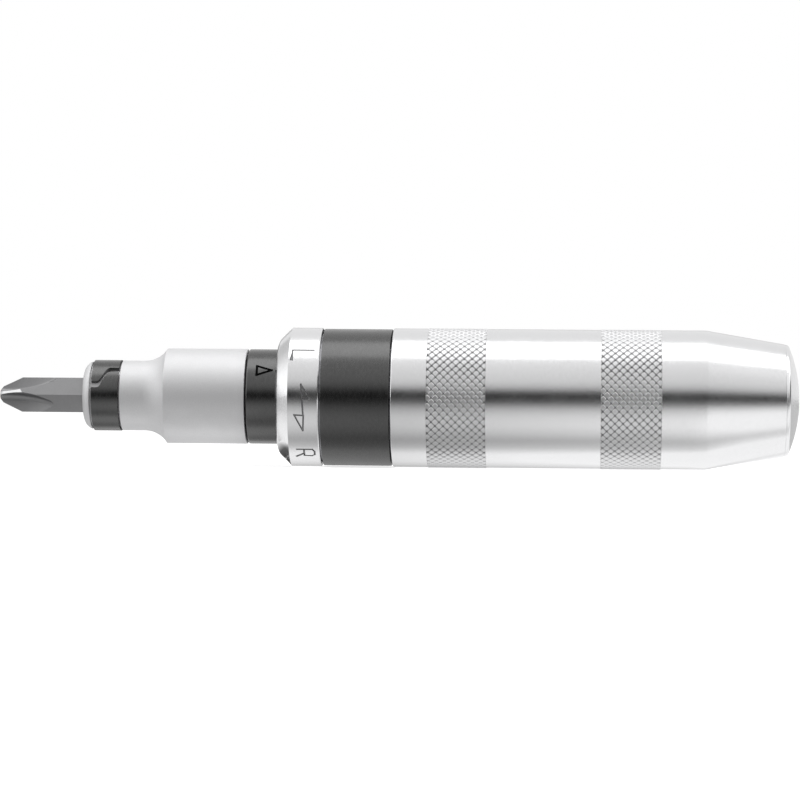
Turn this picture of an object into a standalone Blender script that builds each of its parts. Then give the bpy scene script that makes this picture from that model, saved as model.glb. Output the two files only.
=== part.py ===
"""Hand impact driver lying on its side, in metres, +Z up. The bit points along -X and the struck end
along +X. A station is the distance behind the bit's tip, an angle turns about +X from +Y to +Z, and
the origin lies on the surface below the middle of the tool. The direction is set to L, at rest."""

import math

import bmesh
import bpy
from mathutils import Matrix, Vector

# Lengths along the tool, one after the other from the bit's tip
BIT_EXPOSED = 0.0199
HOLDER_LENGTH = 0.0380
SPINDLE_EXPOSED = 0.0074
RING_LENGTH = 0.0100
COLLAR_SPACE = 0.0164
HANDLE_LENGTH = 0.0931

# Clearance between neighbouring pieces, and how far a cutter runs past what it cuts
GAP = 0.0003
OVERRUN = 0.0020

# Motion: the stroke of a blow, the turn that it gives, and the turn from L to R
STROKE = 0.0050
BLOW_TURN = math.radians(12)
DIRECTION_TURN = math.radians(88)

# Bit: hexagon, cross point cut by a wheel with a V rim
BIT_LENGTH = 0.0360
BIT_FLATS = 0.0080
BIT_END_CHAMFER = 0.0005
POINT_LENGTH = 0.0050
POINT_TIP_RADIUS = 0.0010
POINT_WING_RADIUS = 0.0019
POINT_WING_LENGTH = 0.0007
FLUTE_CORE_RADIUS = 0.0011
FLUTE_WHEEL_RADIUS = 0.0250
FLUTE_HALF_WIDTH = 0.0070
FLUTE_HALF_ANGLE = math.radians(46)
FLUTE_COUNT = 4
FLUTE_TURN = math.radians(-17)

# Bit holder, its retaining band and the ball below the band
HOLDER_RADIUS = 0.0110
HOLDER_EDGE = 0.0003
NOSE_RADIUS = 0.0081
NOSE_ROUND = 0.0023
NECK_LENGTH = 0.0139
FLARE_RADIUS = 0.0065
BAND_SETBACK = 0.0017
BAND_WIDTH = 0.0068
BAND_RADIUS = 0.0082
BAND_WALL = 0.0009
BAND_SLIT = 0.0008
BAND_SLIT_FRONT_ANGLE = math.radians(162)
BAND_SLIT_REAR_ANGLE = math.radians(136)
BIT_BALL_ANGLE = math.radians(330)

# Square drive of the spindle, and its ball and spring
DRIVE_FLATS = 0.0127
DRIVE_LENGTH = 0.0155
DRIVE_CHAMFER = 0.0010
DRIVE_BALL_RADIUS = 0.0020
DRIVE_BALL_STAND = 0.00025
DRIVE_BALL_SETBACK = 0.0080
DRIVE_BALL_ANGLE = math.radians(90)
DRIVE_WELL_WALL = 0.0018
DRIVE_DIMPLE_DEPTH = 0.0005
DRIVE_SPRING_WIRE = 0.0005
DRIVE_SPRING_TURNS = 5

# Spindle and the cross pin through it
SPINDLE_EDGE = 0.0004
FLANGE_RISE = 0.00125
FLANGE_LENGTH = 0.0025
SPINDLE_TAIL = 0.0012
PIN_RADIUS = 0.0025
PIN_SETBACK = 0.0083
PIN_ANGLE = math.radians(90)

# Direction ring, spindle seal, front bush, washer and circlip
RING_CHAMFER = 0.0028
RING_LIP = 0.0013
RING_WALL = 0.0010
SEAL_SECTION = 0.0011
BUSH_LENGTH = 0.0055
BUSH_WALL = 0.00165
FLANGE_WASHER_THICKNESS = 0.0010
CIRCLIP_THICKNESS = 0.0010
CIRCLIP_WIDTH = 0.0016
CIRCLIP_GROOVE = 0.0009
CIRCLIP_OPENING = math.radians(24)
CIRCLIP_ANGLE = math.radians(0)

# Collar, sleeve and rear bush
COLLAR_STEP = 0.0002
SLEEVE_LIP = 0.0008
SLEEVE_GROOVE_WALL = 0.0006
SLEEVE_LAND = 0.0024
REAR_BUSH_LENGTH = 0.0060
REAR_BUSH_WALL = 0.00105

# Handle, its knurled bands and its struck end
HANDLE_RADIUS = 0.0160
HANDLE_WALL = 0.0022
HANDLE_EDGE = 0.0004
HANDLE_BORE_DEPTH = 0.0700
KNURL_RISE = 0.0001
KNURL_SETBACKS = (0.0081, 0.0478)
KNURL_WIDTHS = (0.0135, 0.0138)
TAPER_SETBACK = 0.0719
RIM_RADIUS = 0.0127
RIM_ROUND = 0.0012
DOME_RADIUS = 0.0325
STRIKE_FLAT_RADIUS = 0.0040

# Return spring, the washer before it and the seat behind it
THRUST_WASHER_THICKNESS = 0.0020
THRUST_WASHER_HOLE = 0.0030
THRUST_WASHER_PLAY = 0.0013
SPRING_WIRE = 0.0026
SPRING_PLAY = 0.0032
SPRING_TURNS = 9
SPRING_END_SPACE = 0.0006
SEAT_THICKNESS = 0.0020
SEAT_BOSS_LENGTH = 0.0060
SEAT_BOSS_PLAY = 0.0005

# Facets of round shapes, the least angle of a sharp edge, and the distance within which points merge
SIDES = 48
SMALL_SIDES = 24
ARC_STEPS = 4
SECTION_STEPS = 8
COIL_STEPS = 16
SHARP_ANGLE = math.radians(35)
MERGE_DISTANCE = 0.000001

# Stations of the faces that the photograph shows
HOLDER_FRONT = BIT_EXPOSED
HOLDER_REAR = HOLDER_FRONT + HOLDER_LENGTH
RING_FRONT = HOLDER_REAR + SPINDLE_EXPOSED
RING_REAR = RING_FRONT + RING_LENGTH
HANDLE_FRONT = RING_REAR + COLLAR_SPACE
HANDLE_REAR = HANDLE_FRONT + HANDLE_LENGTH
AXIS_HEIGHT = HANDLE_RADIUS + KNURL_RISE

# Radii that follow the handle's: what lines up with it, what fits in it, and in the ring in turn
RING_RADIUS = HANDLE_RADIUS
COLLAR_RADIUS = HANDLE_RADIUS - COLLAR_STEP
HANDLE_BORE = HANDLE_RADIUS - HANDLE_WALL
SLEEVE_TAIL_RADIUS = HANDLE_BORE - GAP
RING_BORE = RING_RADIUS - RING_WALL
SLEEVE_RADIUS = RING_BORE - GAP
GROOVE_RADIUS = SLEEVE_RADIUS - SLEEVE_GROOVE_WALL
BUSH_SEAT_RADIUS = GROOVE_RADIUS - CIRCLIP_GROOVE
BUSH_RADIUS = BUSH_SEAT_RADIUS - GAP
RUNNING_RADIUS = BUSH_RADIUS - BUSH_WALL
SPINDLE_RADIUS = RUNNING_RADIUS - GAP
SPRING_MEAN_RADIUS = HANDLE_BORE - SPRING_PLAY - SPRING_WIRE / 2

# Bit holder's nose
BAND_FRONT = HOLDER_FRONT + BAND_SETBACK
BAND_REAR = BAND_FRONT + BAND_WIDTH
BAND_BORE = BAND_RADIUS - BAND_WALL
BIT_BALL_RADIUS = (BAND_BORE - BIT_FLATS / 2) / 2 - GAP
BIT_BALL_STATION = (BAND_FRONT + BAND_REAR) / 2
BIT_BALL_DISTANCE = (BAND_BORE + BIT_FLATS / 2) / 2

# Square drive
SPINDLE_FRONT = HOLDER_REAR + GAP
DRIVE_FRONT = SPINDLE_FRONT - DRIVE_LENGTH
DRIVE_SOCKET_FLOOR = DRIVE_FRONT - GAP
DRIVE_BALL_STATION = DRIVE_FRONT + DRIVE_BALL_SETBACK
DRIVE_BALL_DISTANCE = DRIVE_FLATS / 2 + DRIVE_BALL_STAND - DRIVE_BALL_RADIUS
DRIVE_WELL_FLOOR = DRIVE_WELL_WALL - DRIVE_FLATS / 2

# Bearing of the spindle, from the ring's lip back to the flange's room
SEAL_FRONT = RING_FRONT + RING_LIP
SEAL_BORE = RUNNING_RADIUS + SEAL_SECTION + GAP
RING_STEP = SEAL_FRONT + SEAL_SECTION + 2 * GAP
SLEEVE_FRONT = RING_STEP + GAP
GROOVE_FRONT = SLEEVE_FRONT + SLEEVE_LIP
CIRCLIP_FRONT = GROOVE_FRONT + GAP
BUSH_FRONT = CIRCLIP_FRONT + CIRCLIP_THICKNESS + GAP
BUSH_REAR = BUSH_FRONT + BUSH_LENGTH
FLANGE_WASHER_FRONT = BUSH_REAR + GAP
FLANGE_FRONT = FLANGE_WASHER_FRONT + FLANGE_WASHER_THICKNESS + GAP
FLANGE_REAR = FLANGE_FRONT + FLANGE_LENGTH
FLANGE_RADIUS = SPINDLE_RADIUS + FLANGE_RISE
FLANGE_ROOM_END = FLANGE_REAR + STROKE + GAP

# Cross pin, its windows and the rear of the sleeve
PIN_STATION = HANDLE_FRONT + PIN_SETBACK
PIN_END = SLEEVE_TAIL_RADIUS - GAP
WINDOW_FRONT = PIN_STATION - PIN_RADIUS - GAP
WINDOW_REAR = PIN_STATION + STROKE + PIN_RADIUS + GAP
REAR_BUSH_SEAT = WINDOW_REAR + SLEEVE_LAND
REAR_BUSH_FRONT = REAR_BUSH_SEAT + GAP
REAR_BUSH_RADIUS = RUNNING_RADIUS + REAR_BUSH_WALL
SLEEVE_REAR = REAR_BUSH_FRONT + REAR_BUSH_LENGTH
SPINDLE_REAR = SLEEVE_REAR + SPINDLE_TAIL

# What stands in the handle's bore
HANDLE_BORE_END = HANDLE_FRONT + HANDLE_BORE_DEPTH
THRUST_WASHER_FRONT = SPINDLE_REAR + GAP
THRUST_WASHER_REAR = THRUST_WASHER_FRONT + THRUST_WASHER_THICKNESS
SEAT_REAR = HANDLE_BORE_END - GAP
SEAT_FRONT = SEAT_REAR - SEAT_THICKNESS


def at(station, angle=0.0, distance=0.0):
    """The point at this station, this far from the tool's axis in the direction of the angle."""
    height = AXIS_HEIGHT + distance * math.sin(angle)
    return Vector((station - HANDLE_REAR / 2, distance * math.cos(angle), height))


def material(name, colour, roughness, metallic):
    """A material with one Principled shader."""
    made = bpy.data.materials.new(name)
    made.use_nodes = True
    shader = made.node_tree.nodes["Principled BSDF"]
    shader.inputs["Base Color"].default_value = (*colour, 1)
    shader.inputs["Roughness"].default_value = roughness
    shader.inputs["Metallic"].default_value = metallic
    made.diffuse_color = (*colour, 1)
    return made


def new_collection(name):
    """A collection in the scene."""
    made = bpy.data.collections.new(name)
    bpy.context.scene.collection.children.link(made)
    return made


def add_object(name, data, group, finish=None):
    """The data as an object of the group. Without a finish it is a cutter or a joined shape."""
    obj = bpy.data.objects.new(name, data)
    group.objects.link(obj)
    if finish:
        data.materials.append(finish)
    else:
        obj.hide_render = True
        obj.display_type = "WIRE"
    return obj


def mesh_object(name, shape, group, finish=None):
    """The bmesh as an object, its round faces shaded smooth."""
    mesh = bpy.data.meshes.new(name)
    shape.to_mesh(mesh)
    shape.free()
    mesh.shade_smooth()
    mesh.set_sharp_from_angle(angle=SHARP_ANGLE)
    return add_object(name, mesh, group, finish)


def arc(centre, radius, start, end, steps=ARC_STEPS):
    """Points (station, radius) along an arc about centre, from angle start to end."""
    angles = [start + (end - start) * step / steps for step in range(steps + 1)]
    return [(centre[0] + radius * math.cos(a), centre[1] + radius * math.sin(a)) for a in angles]


def turned(name, outline, group, finish=None, closed=True, sides=SIDES):
    """A shape turned about the tool's axis from (station, radius) points, which run from front to rear
    on the outer side and come back along the bore. An outline that isn't closed starts and ends on the
    axis. The middles of the facets touch the true radius, and one facet faces straight down."""
    half_facet = math.pi / sides
    front = outline[0][0]
    shape = bmesh.new()
    rims = []
    for station, radius in outline:
        corner = radius / math.cos(half_facet)
        place = (station - front, corner * math.sin(half_facet), -corner * math.cos(half_facet))
        rims.append(shape.verts.new(place))
    for first, second in zip(rims, rims[1:]):
        shape.edges.new((first, second))
    if closed:
        shape.edges.new((rims[-1], rims[0]))
    obj = mesh_object(name, shape, group, finish)
    obj.location = at(front)
    screw = obj.modifiers.new("turn", "SCREW")
    screw.axis = "X"
    screw.steps = sides
    screw.render_steps = sides
    screw.use_merge_vertices = True
    screw.merge_threshold = MERGE_DISTANCE
    screw.use_smooth_shade = True
    screw.use_normal_flip = True
    return obj


def tube(name, front, rear, inner, outer, group, finish=None):
    """A plain ring or tube about the tool's axis."""
    outline = [(front, inner), (front, outer), (rear, outer), (rear, inner)]
    return turned(name, outline, group, finish)


def prism(name, flats, sides, front, rear, corner_angle, group, finish=None):
    """A prism along the tool with this size across its flats and a corner at this angle."""
    shape = bmesh.new()
    corner = flats / 2 / math.cos(math.pi / sides)
    bmesh.ops.create_cone(
        shape, cap_ends=True, segments=sides, radius1=corner, radius2=corner, depth=rear - front
    )
    along_tool = Matrix.Rotation(corner_angle, 4, "X") @ Matrix.Rotation(math.pi / 2, 4, "Y")
    bmesh.ops.transform(shape, matrix=along_tool, verts=shape.verts)
    obj = mesh_object(name, shape, group, finish)
    obj.location = at((front + rear) / 2)
    return obj


def post(name, radius, station, angle, low, high, group, finish=None):
    """A round post across the tool, from distance low to high in the direction of the angle."""
    shape = bmesh.new()
    bmesh.ops.create_cone(
        shape, cap_ends=True, segments=SMALL_SIDES, radius1=radius, radius2=radius, depth=high - low
    )
    outward = Matrix.Rotation(angle - math.pi / 2, 4, "X")
    middle = Matrix.Translation((0, 0, (low + high) / 2))
    bmesh.ops.transform(shape, matrix=outward @ middle, verts=shape.verts)
    obj = mesh_object(name, shape, group, finish)
    obj.location = at(station)
    return obj


def ball(name, radius, station, angle, distance, group, finish=None):
    """A ball at this distance from the tool's axis."""
    shape = bmesh.new()
    bmesh.ops.create_uvsphere(
        shape, u_segments=SMALL_SIDES, v_segments=SMALL_SIDES // 2, radius=radius
    )
    obj = mesh_object(name, shape, group, finish)
    obj.location = at(station, angle, distance)
    return obj


def wall_cutter(name, rows, inner, outer, columns, group):
    """A cutter for the wall of a tube. Each row is (station, start angle, end angle), so that the
    sides between the rows may slant or curve round the tube."""
    shape = bmesh.new()
    rings = []
    for station, start, end in rows:
        angles = [start + (end - start) * column / columns for column in range(columns + 1)]
        low = [shape.verts.new(at(station, a, inner)) for a in angles]
        high = [shape.verts.new(at(station, a, outer)) for a in angles]
        rings.append(low + high[::-1])
    for near, far in zip(rings, rings[1:]):
        for k in range(len(near)):
            shape.faces.new((near[k - 1], near[k], far[k], far[k - 1]))
    for ring in (rings[0], rings[-1]):
        for k in range(columns):
            shape.faces.new((ring[k], ring[k + 1], ring[-k - 2], ring[-k - 1]))
    bmesh.ops.recalc_face_normals(shape, faces=shape.faces)
    return mesh_object(name, shape, group)


def coil(name, start, end, mean_radius, wire, turns, end_space, group, finish):
    """A compression spring of round wire from start to end, whose end turns lie closer."""
    direction = (end - start).normalized()
    across = direction.orthogonal().normalized()
    aside = direction.cross(across)
    run = (end - start).length - wire
    end_share = (wire + end_space) / run
    middle_share = (1 - 2 * end_share) / (turns - 2)
    line = bpy.data.curves.new(name, "CURVE")
    line.dimensions = "3D"
    line.bevel_depth = wire / 2
    line.bevel_resolution = 1
    line.use_fill_caps = True
    spline = line.splines.new("POLY")
    steps = turns * COIL_STEPS
    spline.points.add(steps)
    for step, point in enumerate(spline.points):
        turn = turns * step / steps
        end_turns = min(turn, 1) + max(turn - turns + 1, 0)
        along = wire / 2 + run * (end_turns * end_share + (turn - end_turns) * middle_share)
        angle = 2 * math.pi * turn
        out = mean_radius * (math.cos(angle) * across + math.sin(angle) * aside)
        point.co = (*(along * direction + out), 1)
    obj = add_object(name, line, group, finish)
    obj.location = start
    return obj


def shape_with(obj, tool, operation="DIFFERENCE"):
    """Cuts the tool out of the object, joins it to the object or keeps only what lies in both."""
    boolean = obj.modifiers.new(tool.name, "BOOLEAN")
    boolean.operation = operation
    boolean.object = tool


def make_bit(parts, cutters, steel):
    """Hexagon bit, a corner facing -Y: the point's cone, then flutes that run out on the hexagon."""
    corner = BIT_FLATS / 2 / math.cos(math.pi / 6)
    bit = prism("bit", BIT_FLATS, 6, 0.0, BIT_LENGTH, 0.0, parts, steel)
    slope = (BIT_FLATS / 2 - POINT_WING_RADIUS) / (POINT_LENGTH - POINT_WING_LENGTH)
    outside = corner + OVERRUN
    outline = [
        (0.0, 0.0),
        (0.0, POINT_TIP_RADIUS),
        (POINT_WING_LENGTH, POINT_WING_RADIUS),
        (POINT_WING_LENGTH + (outside - POINT_WING_RADIUS) / slope, outside),
        (BIT_LENGTH - BIT_END_CHAMFER - OVERRUN, outside),
        (BIT_LENGTH, corner - BIT_END_CHAMFER),
        (BIT_LENGTH, 0.0),
    ]
    shape_with(bit, turned("bit_outline", outline, cutters, closed=False), "INTERSECT")
    edge = FLUTE_WHEEL_RADIUS - FLUTE_HALF_WIDTH / math.tan(FLUTE_HALF_ANGLE)
    rim = [
        (-FLUTE_HALF_WIDTH, 0.0),
        (-FLUTE_HALF_WIDTH, edge),
        (0.0, FLUTE_WHEEL_RADIUS),
        (FLUTE_HALF_WIDTH, edge),
        (FLUTE_HALF_WIDTH, 0.0),
    ]
    for flute in range(FLUTE_COUNT):
        angle = FLUTE_TURN + 2 * math.pi * (flute + 1 / 2) / FLUTE_COUNT
        wheel = turned(f"flute_wheel_{flute}", rim, cutters, closed=False, sides=2 * SIDES)
        centre = at(0.0, angle, FLUTE_CORE_RADIUS + FLUTE_WHEEL_RADIUS)
        tangent = at(0.0, angle + math.pi / 2, FLUTE_HALF_WIDTH) - at(0.0)
        across = Matrix.Rotation(angle + math.pi / 2, 4, "X") @ Matrix.Rotation(math.pi / 2, 4, "Z")
        wheel.matrix_world = Matrix.Translation(centre - tangent) @ across
        shape_with(bit, wheel)


def make_bit_holder(parts, cutters, chrome):
    """Holder: rounded nose, groove for the band, neck, concave flare and plain body, with a hexagon
    socket in front, a square socket behind, a hole for the ball and a dimple for the drive's ball."""
    groove_front = BAND_FRONT - GAP
    groove_rear = BAND_REAR + GAP
    nose = (HOLDER_FRONT + NOSE_ROUND, NOSE_RADIUS - NOSE_ROUND)
    flare = (HOLDER_FRONT + NECK_LENGTH, NOSE_RADIUS + FLARE_RADIUS)
    outline = [
        (HOLDER_FRONT, 0.0),
        *arc(nose, NOSE_ROUND, math.pi, math.acos((groove_front - nose[0]) / NOSE_ROUND)),
        (groove_front, BAND_BORE - GAP),
        (groove_rear, BAND_BORE - GAP),
        (groove_rear, NOSE_RADIUS),
        *arc(
            flare, FLARE_RADIUS, -math.pi / 2, -math.asin((flare[1] - HOLDER_RADIUS) / FLARE_RADIUS)
        ),
        (HOLDER_REAR - HOLDER_EDGE, HOLDER_RADIUS),
        (HOLDER_REAR, HOLDER_RADIUS - HOLDER_EDGE),
        (HOLDER_REAR, 0.0),
    ]
    holder = turned("bit_holder", outline, parts, chrome, closed=False)
    hexagon_front = HOLDER_FRONT - OVERRUN
    hexagon = BIT_FLATS + 2 * GAP
    square = DRIVE_FLATS + 2 * GAP
    square_rear = HOLDER_REAR + OVERRUN
    hole_radius = BIT_BALL_RADIUS + GAP
    dimple_radius = DRIVE_BALL_RADIUS + GAP
    dimple_distance = square / 2 + DRIVE_DIMPLE_DEPTH - dimple_radius
    tools = [
        prism("bit_socket", hexagon, 6, hexagon_front, BIT_LENGTH + GAP, 0.0, cutters),
        prism("drive_socket", square, 4, DRIVE_SOCKET_FLOOR, square_rear, math.pi / 4, cutters),
        post(
            "bit_ball_hole",
            hole_radius,
            BIT_BALL_STATION,
            BIT_BALL_ANGLE,
            BIT_FLATS / 4,
            BAND_BORE + OVERRUN / 2,
            cutters,
        ),
        ball(
            "drive_dimple",
            dimple_radius,
            DRIVE_BALL_STATION,
            DRIVE_BALL_ANGLE,
            dimple_distance,
            cutters,
        ),
    ]
    for tool in tools:
        shape_with(holder, tool)


def make_retaining_band(parts, cutters, blackened):
    """Spring band in the holder's groove, with an S-shaped gap."""
    band = tube("retaining_band", BAND_FRONT, BAND_REAR, BAND_BORE, BAND_RADIUS, parts, blackened)
    half = BAND_SLIT / 2 / BAND_RADIUS
    rows = [(BAND_FRONT - OVERRUN, BAND_SLIT_FRONT_ANGLE - half, BAND_SLIT_FRONT_ANGLE + half)]
    for step in range(SECTION_STEPS + 1):
        share = step / SECTION_STEPS
        eased_share = share * share * (3 - 2 * share)
        angle = BAND_SLIT_FRONT_ANGLE + eased_share * (BAND_SLIT_REAR_ANGLE - BAND_SLIT_FRONT_ANGLE)
        rows.append((BAND_FRONT + share * BAND_WIDTH, angle - half, angle + half))
    rows.append((BAND_REAR + OVERRUN, BAND_SLIT_REAR_ANGLE - half, BAND_SLIT_REAR_ANGLE + half))
    inner = BAND_BORE - BAND_WALL
    outer = BAND_RADIUS + BAND_WALL
    shape_with(band, wall_cutter("band_slit", rows, inner, outer, 1, cutters))


def make_spindle(parts, cutters, blackened):
    """Spindle: square drive, nose, flange and body, with the ball's well and the pin's hole."""
    outline = [
        (SPINDLE_FRONT, 0.0),
        (SPINDLE_FRONT, SPINDLE_RADIUS - SPINDLE_EDGE),
        (SPINDLE_FRONT + SPINDLE_EDGE, SPINDLE_RADIUS),
        (FLANGE_FRONT, SPINDLE_RADIUS),
        (FLANGE_FRONT, FLANGE_RADIUS),
        (FLANGE_REAR, FLANGE_RADIUS),
        (FLANGE_REAR, SPINDLE_RADIUS),
        (SPINDLE_REAR - SPINDLE_EDGE, SPINDLE_RADIUS),
        (SPINDLE_REAR, SPINDLE_RADIUS - SPINDLE_EDGE),
        (SPINDLE_REAR, 0.0),
    ]
    spindle = turned("spindle", outline, parts, blackened, closed=False)
    drive_rear = SPINDLE_FRONT + OVERRUN
    drive = prism("square_drive", DRIVE_FLATS, 4, DRIVE_FRONT, drive_rear, math.pi / 4, cutters)
    chamfer = drive.modifiers.new("chamfer", "BEVEL")
    chamfer.width = DRIVE_CHAMFER
    chamfer.segments = 1
    shape_with(spindle, drive, "UNION")
    well_radius = DRIVE_BALL_RADIUS + GAP
    well_mouth = DRIVE_FLATS / 2 + OVERRUN
    well = post(
        "drive_well",
        well_radius,
        DRIVE_BALL_STATION,
        DRIVE_BALL_ANGLE,
        DRIVE_WELL_FLOOR,
        well_mouth,
        cutters,
    )
    shape_with(spindle, well)
    past = SPINDLE_RADIUS + OVERRUN
    hole = post("pin_hole", PIN_RADIUS + GAP, PIN_STATION, PIN_ANGLE, -past, past, cutters)
    shape_with(spindle, hole)


def make_drive_ball(parts, steel):
    """Ball in the square drive and the spring below it."""
    ball(
        "drive_ball",
        DRIVE_BALL_RADIUS,
        DRIVE_BALL_STATION,
        DRIVE_BALL_ANGLE,
        DRIVE_BALL_DISTANCE,
        parts,
        steel,
    )
    top = DRIVE_BALL_DISTANCE - DRIVE_BALL_RADIUS - GAP
    coil(
        "drive_ball_spring",
        at(DRIVE_BALL_STATION, DRIVE_BALL_ANGLE, DRIVE_WELL_FLOOR + GAP),
        at(DRIVE_BALL_STATION, DRIVE_BALL_ANGLE, top),
        DRIVE_BALL_RADIUS - DRIVE_SPRING_WIRE / 2,
        DRIVE_SPRING_WIRE,
        DRIVE_SPRING_TURNS,
        GAP,
        parts,
        steel,
    )


def make_direction_ring(parts, chrome):
    """Ring with a wide front chamfer, a lip round the spindle and a room for the seal."""
    outline = [
        (RING_FRONT, RUNNING_RADIUS),
        (RING_FRONT, RING_RADIUS - RING_CHAMFER),
        (RING_FRONT + RING_CHAMFER, RING_RADIUS),
        (RING_REAR, RING_RADIUS),
        (RING_REAR, RING_BORE),
        (RING_STEP, RING_BORE),
        (RING_STEP, SEAL_BORE),
        (SEAL_FRONT, SEAL_BORE),
        (SEAL_FRONT, RUNNING_RADIUS),
    ]
    turned("direction_ring", outline, parts, chrome)


def make_spindle_seal(parts, rubber):
    """O-ring round the spindle."""
    radius = SEAL_SECTION / 2
    centre = (SEAL_FRONT + GAP + radius, RUNNING_RADIUS + radius)
    section = arc(centre, radius, math.pi, -math.pi, SECTION_STEPS)[:-1]
    turned("spindle_seal", section, parts, rubber)


def make_circlip(parts, cutters, steel):
    """Spring ring in the sleeve's groove, with its opening."""
    rear = CIRCLIP_FRONT + CIRCLIP_THICKNESS
    outer = GROOVE_RADIUS - GAP
    inner = outer - CIRCLIP_WIDTH
    circlip = tube("bush_circlip", CIRCLIP_FRONT, rear, inner, outer, parts, steel)
    start = CIRCLIP_ANGLE - CIRCLIP_OPENING / 2
    end = CIRCLIP_ANGLE + CIRCLIP_OPENING / 2
    rows = [(CIRCLIP_FRONT - OVERRUN, start, end), (rear + OVERRUN, start, end)]
    opening = wall_cutter("circlip_opening", rows, inner / 2, 2 * outer, ARC_STEPS, cutters)
    shape_with(circlip, opening)


def make_cam_sleeve(parts, cutters, hardened):
    """Sleeve: thick front part below the collar, thinner tail in the handle, bores for the bushes and
    for the flange, and two windows whose slanted flanks turn the pin as it moves back."""
    shoulder = HANDLE_FRONT - GAP
    outline = [
        (SLEEVE_FRONT, BUSH_SEAT_RADIUS),
        (SLEEVE_FRONT, SLEEVE_RADIUS),
        (shoulder, SLEEVE_RADIUS),
        (shoulder, SLEEVE_TAIL_RADIUS),
        (SLEEVE_REAR, SLEEVE_TAIL_RADIUS),
        (SLEEVE_REAR, REAR_BUSH_RADIUS + GAP),
        (REAR_BUSH_SEAT, REAR_BUSH_RADIUS + GAP),
        (REAR_BUSH_SEAT, RUNNING_RADIUS),
        (FLANGE_ROOM_END, RUNNING_RADIUS),
        (FLANGE_ROOM_END, FLANGE_RADIUS + GAP),
        (FLANGE_FRONT, FLANGE_RADIUS + GAP),
        (FLANGE_FRONT, BUSH_SEAT_RADIUS),
        (BUSH_FRONT, BUSH_SEAT_RADIUS),
        (BUSH_FRONT, GROOVE_RADIUS),
        (GROOVE_FRONT, GROOVE_RADIUS),
        (GROOVE_FRONT, BUSH_SEAT_RADIUS),
    ]
    sleeve = turned("cam_sleeve", outline, parts, hardened)
    twist_rate = BLOW_TURN / STROKE
    slant = math.hypot(1, twist_rate * RUNNING_RADIUS)
    clear_angle = math.asin((PIN_RADIUS + GAP) * slant / RUNNING_RADIUS)
    for side in range(2):
        rows = []
        for station in (WINDOW_FRONT, WINDOW_REAR):
            lead = twist_rate * (station - PIN_STATION)
            loosening = PIN_ANGLE + side * math.pi - clear_angle + lead
            tightening = PIN_ANGLE + side * math.pi + DIRECTION_TURN + 2 * BLOW_TURN + clear_angle - lead
            rows.append((station, loosening, tightening))
        inner = RUNNING_RADIUS - OVERRUN
        outer = SLEEVE_TAIL_RADIUS + OVERRUN
        window = wall_cutter(f"window_{side}", rows, inner, outer, SECTION_STEPS, cutters)
        shape_with(sleeve, window)


def make_hammer_handle(parts, chrome):
    """Handle: blind bore, two raised bands for the knurling, taper, rounded rim and domed face."""
    rise = KNURL_RISE
    outline = [
        (HANDLE_BORE_END, 0.0),
        (HANDLE_BORE_END, HANDLE_BORE),
        (HANDLE_FRONT, HANDLE_BORE),
        (HANDLE_FRONT, HANDLE_RADIUS - HANDLE_EDGE),
        (HANDLE_FRONT + HANDLE_EDGE, HANDLE_RADIUS),
    ]
    for setback, width in zip(KNURL_SETBACKS, KNURL_WIDTHS):
        front = HANDLE_FRONT + setback
        rear = front + width
        outline += [
            (front, HANDLE_RADIUS),
            (front + rise, HANDLE_RADIUS + rise),
            (rear - rise, HANDLE_RADIUS + rise),
            (rear, HANDLE_RADIUS),
        ]
    taper_start = HANDLE_FRONT + TAPER_SETBACK
    dome_centre = HANDLE_REAR - math.sqrt(DOME_RADIUS**2 - STRIKE_FLAT_RADIUS**2)
    rim_distance = RIM_RADIUS - RIM_ROUND
    rim_station = dome_centre + math.sqrt((DOME_RADIUS - RIM_ROUND) ** 2 - rim_distance**2)
    taper_angle = math.atan2(HANDLE_RADIUS - RIM_RADIUS, rim_station - taper_start)
    rim_end = math.atan2(rim_distance, rim_station - dome_centre)
    rim = (rim_station, rim_distance)
    flat_angle = math.asin(STRIKE_FLAT_RADIUS / DOME_RADIUS)
    outline += [
        (taper_start, HANDLE_RADIUS),
        *arc(rim, RIM_ROUND, math.pi / 2 - taper_angle, rim_end),
        *arc((dome_centre, 0.0), DOME_RADIUS, rim_end, flat_angle)[1:],
        (HANDLE_REAR, 0.0),
    ]
    turned("hammer_handle", outline, parts, chrome, closed=False)


def make_spring_seat(parts, steel):
    """Seat at the bottom of the handle's bore, with a boss that centres the spring."""
    boss_radius = SPRING_MEAN_RADIUS - SPRING_WIRE / 2 - SEAT_BOSS_PLAY
    boss_front = SEAT_FRONT - SEAT_BOSS_LENGTH
    outline = [
        (boss_front, 0.0),
        (boss_front, boss_radius),
        (SEAT_FRONT, boss_radius),
        (SEAT_FRONT, HANDLE_BORE - GAP),
        (SEAT_REAR, HANDLE_BORE - GAP),
        (SEAT_REAR, 0.0),
    ]
    turned("rear_spring_seat", outline, parts, steel, closed=False)


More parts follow.
